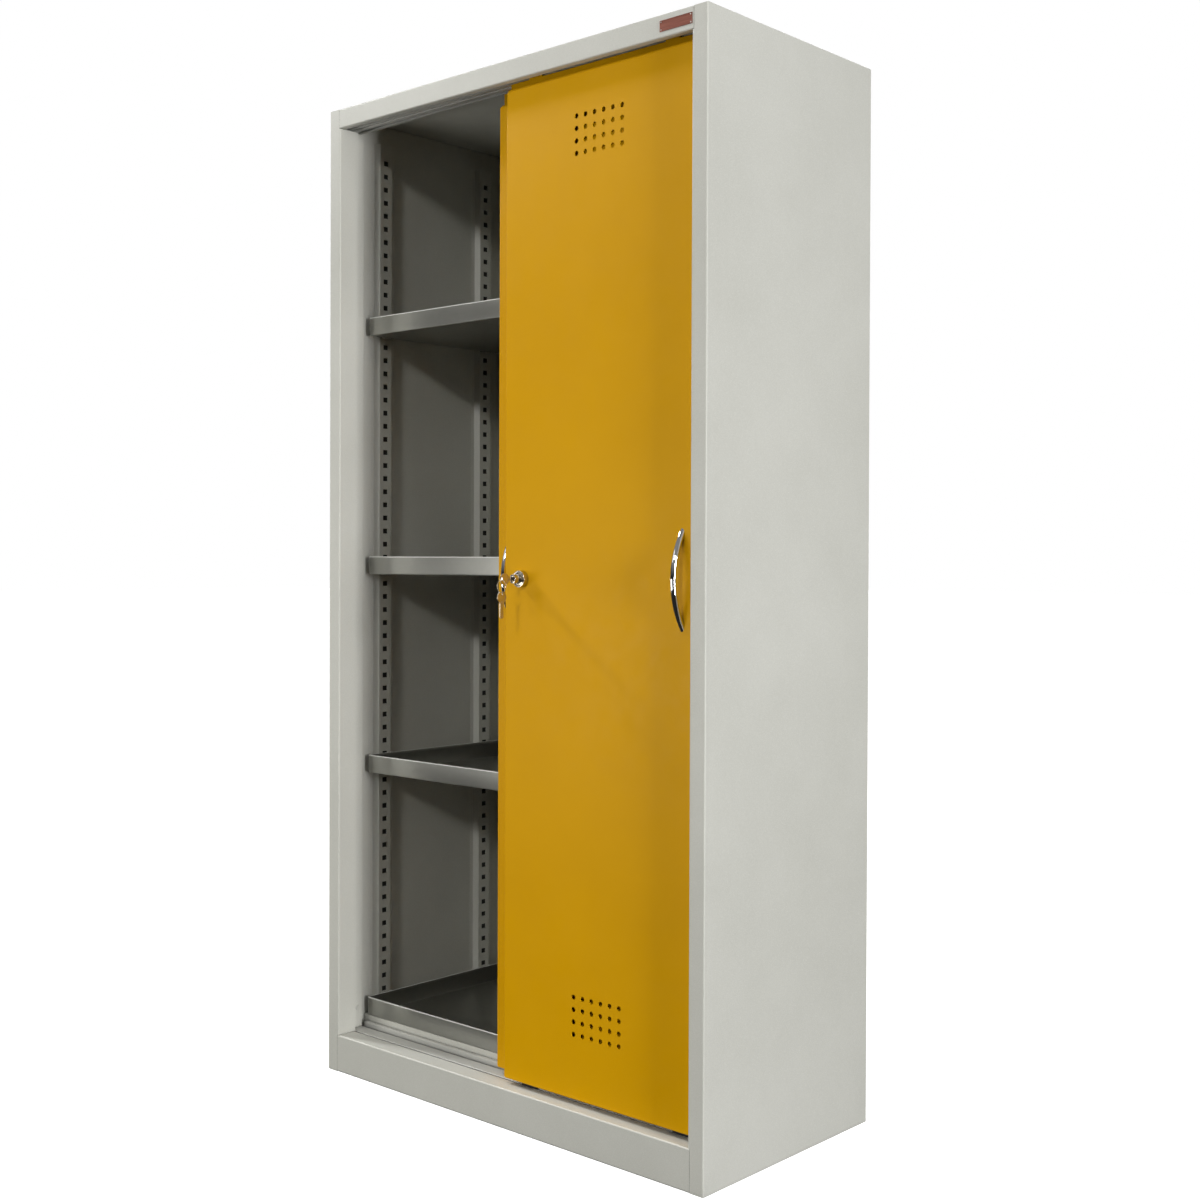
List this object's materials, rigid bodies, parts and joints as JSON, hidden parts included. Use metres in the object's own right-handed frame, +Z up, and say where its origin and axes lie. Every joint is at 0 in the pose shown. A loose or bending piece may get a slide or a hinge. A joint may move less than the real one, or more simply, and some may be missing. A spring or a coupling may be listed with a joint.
{
  "type": "flammable storage cabinet",
  "caption": "Tall sheet-metal safety cabinet with overlapping sliding doors, vent fields, a push lock with keys and spill trays on slotted uprights.",
  "frame": {"origin": "centre of the base footprint, on the floor", "axes": "+X to the right seen from the front, +Y towards the back, +Z up"},
  "size_m": [0.925, 0.4725, 1.8],
  "materials": {
    "body_grey": "powder coat, light grey, fine texture",
    "rail_grey": "powder coat, light grey, on the sliding gear",
    "door_yellow": "powder coat, safety yellow, fine texture",
    "tray_zinc": "zinc-coated sheet, softly brushed",
    "clip_zinc": "bright zinc plate",
    "chrome": "polished chrome plate",
    "lock_nickel": "satin nickel plate",
    "key_nickel": "worn nickel over brass",
    "spring_steel": "drawn wire",
    "roller_nylon": "nylon, off-white",
    "shoe_plastic": "black low-friction plastic",
    "plate_copper": "copper-red lacquered plate, blank",
    "rivet_steel": "plated steel"
  },
  "bodies": {
    "cabinet": {"side_panel_right": "body_grey", "side_panel_left": "body_grey", "back_panel": "body_grey", "roof_with_fascia": "body_grey", "plinth": "body_grey", "floor_panel": "body_grey", "base_frame": "body_grey", "jamb_right": "body_grey", "jamb_left": "body_grey", "upright_front_right": "body_grey", "upright_front_left": "body_grey", "upright_rear_right": "body_grey", "upright_rear_left": "body_grey", "lower_guide_rail": "rail_grey", "upper_track_front": "rail_grey", "upper_track_rear": "rail_grey", "jamb_rivets": "body_grey", "nameplate": "plate_copper", "nameplate_rivets": "rivet_steel", "shelf_tray_top": "tray_zinc", "shelf_clips_top": "clip_zinc", "shelf_tray_middle": "tray_zinc", "shelf_clips_middle": "clip_zinc", "shelf_tray_lower": "tray_zinc", "shelf_clips_lower": "clip_zinc", "shelf_tray_bottom": "tray_zinc"},
    "front_door": {"front_door_panel": "door_yellow", "front_door_handle": "chrome", "front_handle_screws": "rivet_steel", "front_door_hangers": "door_yellow", "front_guide_shoes": "shoe_plastic", "lock_housing": "lock_nickel", "lock_nut": "lock_nickel", "lock_spring": "spring_steel"},
    "rear_door": {"rear_door_panel": "door_yellow", "rear_door_handle": "chrome", "rear_handle_screws": "rivet_steel", "rear_door_hangers": "door_yellow", "rear_guide_shoes": "shoe_plastic", "lock_striker": "clip_zinc"},
    "front_roller_left": {"front_roller_left": "roller_nylon"},
    "front_roller_right": {"front_roller_right": "roller_nylon"},
    "rear_roller_left": {"rear_roller_left": "roller_nylon"},
    "rear_roller_right": {"rear_roller_right": "roller_nylon"},
    "lock_plunger": {"lock_plunger": "lock_nickel"},
    "key": {"key_plug": "lock_nickel", "key": "key_nickel"},
    "key_ring": {"key_ring": "key_nickel"},
    "spare_key": {"spare_key": "key_nickel"}
  },
  "joints": [
    {"name": "front_door_slide", "type": "slide", "parent": "cabinet", "child": "front_door", "axis": [1, 0, 0], "range_m": [-0.398, 0]},
    {"name": "rear_door_slide", "type": "slide", "parent": "front_door", "child": "rear_door", "axis": [-1, 0, 0], "range_m": [0, 0.398]},
    {"name": "front_roller_left_spin", "type": "hinge", "parent": "front_door", "child": "front_roller_left", "pos_m": [0.062, -0.1885, 1.7835], "axis": [0, 1, 0], "continuous": true},
    {"name": "front_roller_right_spin", "type": "hinge", "parent": "front_door", "child": "front_roller_right", "pos_m": [0.368, -0.1885, 1.7835], "axis": [0, 1, 0], "continuous": true},
    {"name": "rear_roller_left_spin", "type": "hinge", "parent": "rear_door", "child": "rear_roller_left", "pos_m": [-0.023, -0.1585, 1.7835], "axis": [0, 1, 0], "continuous": true},
    {"name": "rear_roller_right_spin", "type": "hinge", "parent": "rear_door", "child": "rear_roller_right", "pos_m": [0.421, -0.1585, 1.7835], "axis": [0, 1, 0], "continuous": true},
    {"name": "lock_push", "type": "slide", "parent": "front_door", "child": "lock_plunger", "axis": [0, 1, 0], "range_m": [0, 0.009], "stiffness_N_per_m": 250, "deforming": ["lock_spring"]},
    {"name": "key_turn", "type": "hinge", "parent": "lock_plunger", "child": "key", "pos_m": [0.043, -0.2175, 0.929], "axis": [0, 1, 0], "range_deg": [0, 90]},
    {"name": "key_ring_swing", "type": "hinge", "parent": "key", "child": "key_ring", "pos_m": [0.043, -0.245, 0.9275], "axis": [1, 0, 0], "range_deg": [-18, 18]},
    {"name": "spare_key_swing", "type": "hinge", "parent": "key_ring", "child": "spare_key", "pos_m": [0.043, -0.245, 0.9065], "axis": [1, 0, 0], "range_deg": [-18, 18]}
  ],
  "couplings": [
    {"joint": "front_roller_left_spin", "follows": "front_door_slide", "rad_per_m": 100},
    {"joint": "front_roller_right_spin", "follows": "front_door_slide", "rad_per_m": 100},
    {"joint": "rear_roller_left_spin", "follows": "rear_door_slide", "rad_per_m": -100},
    {"joint": "rear_roller_right_spin", "follows": "rear_door_slide", "rad_per_m": -100}
  ]
}
